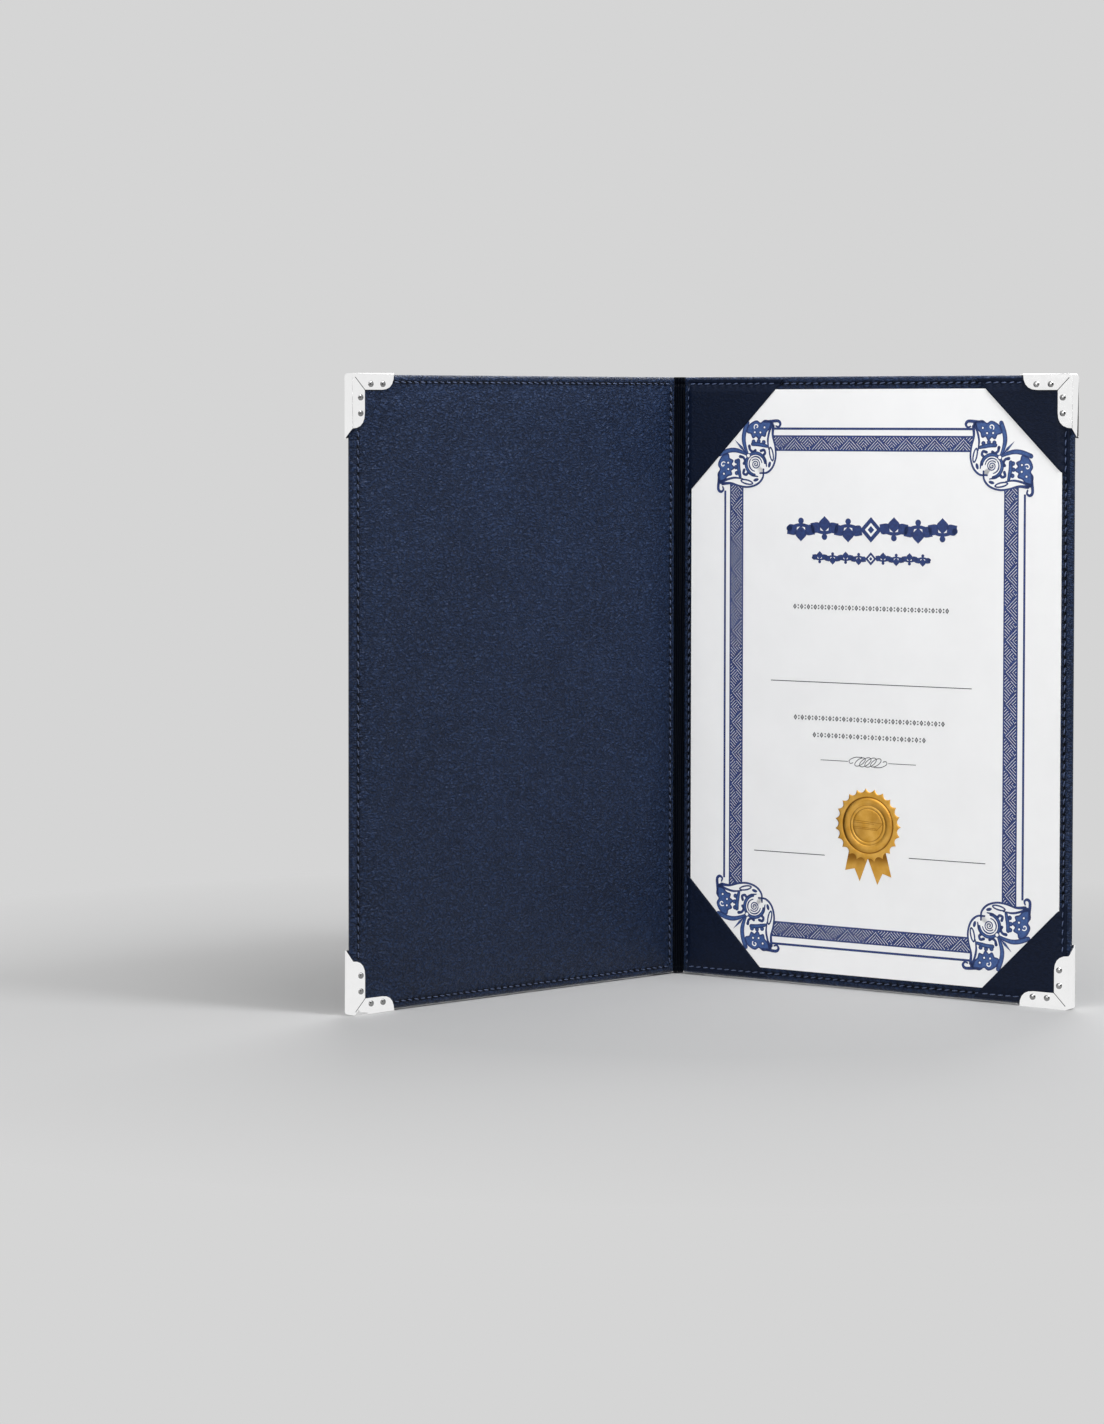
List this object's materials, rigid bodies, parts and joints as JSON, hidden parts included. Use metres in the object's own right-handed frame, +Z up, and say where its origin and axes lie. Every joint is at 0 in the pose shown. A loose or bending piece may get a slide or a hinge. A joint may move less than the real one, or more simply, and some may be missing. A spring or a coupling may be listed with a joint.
{
  "type": "diploma cover",
  "caption": "Padded leatherette diploma cover standing open as a V, with pierced metal corners, a stitched inside and a certificate held in four corner pockets.",
  "frame": {"origin": "middle of the bounding box's underside, on the surface that the cover stands on", "axes": "+X from the front cover's side to the back cover's side, +Y towards the spine, +Z up along the spine"},
  "size_m": [0.3586, 0.1446, 0.3113],
  "materials": {
    "leatherette": "fine grain, satin",
    "lining": "fine grain, satin",
    "foam": "matte",
    "greyboard": "matte",
    "corner_metal": "polished",
    "paper": "matte",
    "gold_foil": "embossed foil"
  },
  "bodies": {
    "spine": {"spine_skin": "leatherette", "spine_core": "greyboard", "spine_strip": "lining"},
    "front_cover": {"front_skin": "leatherette", "front_outer_pad": "foam", "front_board": "greyboard", "front_inner_pad": "foam", "front_lining": "lining", "front_corner_top": "corner_metal", "front_corner_bottom": "corner_metal", "front_corner_top_tack_1": "corner_metal", "front_corner_top_tack_2": "corner_metal", "front_corner_top_tack_3": "corner_metal", "front_corner_top_tack_4": "corner_metal", "front_corner_bottom_tack_1": "corner_metal", "front_corner_bottom_tack_2": "corner_metal", "front_corner_bottom_tack_3": "corner_metal", "front_corner_bottom_tack_4": "corner_metal"},
    "back_cover": {"back_skin": "leatherette", "back_outer_pad": "foam", "back_board": "greyboard", "back_inner_pad": "foam", "back_lining": "lining", "back_corner_top": "corner_metal", "back_corner_bottom": "corner_metal", "back_corner_top_tack_1": "corner_metal", "back_corner_top_tack_2": "corner_metal", "back_corner_top_tack_3": "corner_metal", "back_corner_top_tack_4": "corner_metal", "back_corner_bottom_tack_1": "corner_metal", "back_corner_bottom_tack_2": "corner_metal", "back_corner_bottom_tack_3": "corner_metal", "back_corner_bottom_tack_4": "corner_metal", "pocket_hinge_top": "leatherette", "pocket_hinge_bottom": "leatherette", "pocket_free_top": "leatherette", "pocket_free_bottom": "leatherette", "certificate": "paper", "certificate_seal": "gold_foil"}
  },
  "joints": [
    {"name": "front_hinge", "type": "hinge", "parent": "spine", "child": "front_cover", "pos_m": [-0.0052, 0.06649, 0.15565], "axis": [0, 0, 1], "range_deg": [-38.2, 51.8]},
    {"name": "back_hinge", "type": "hinge", "parent": "spine", "child": "back_cover", "pos_m": [0.0052, 0.06649, 0.15565], "axis": [0, 0, -1], "range_deg": [-38.2, 51.8]}
  ]
}
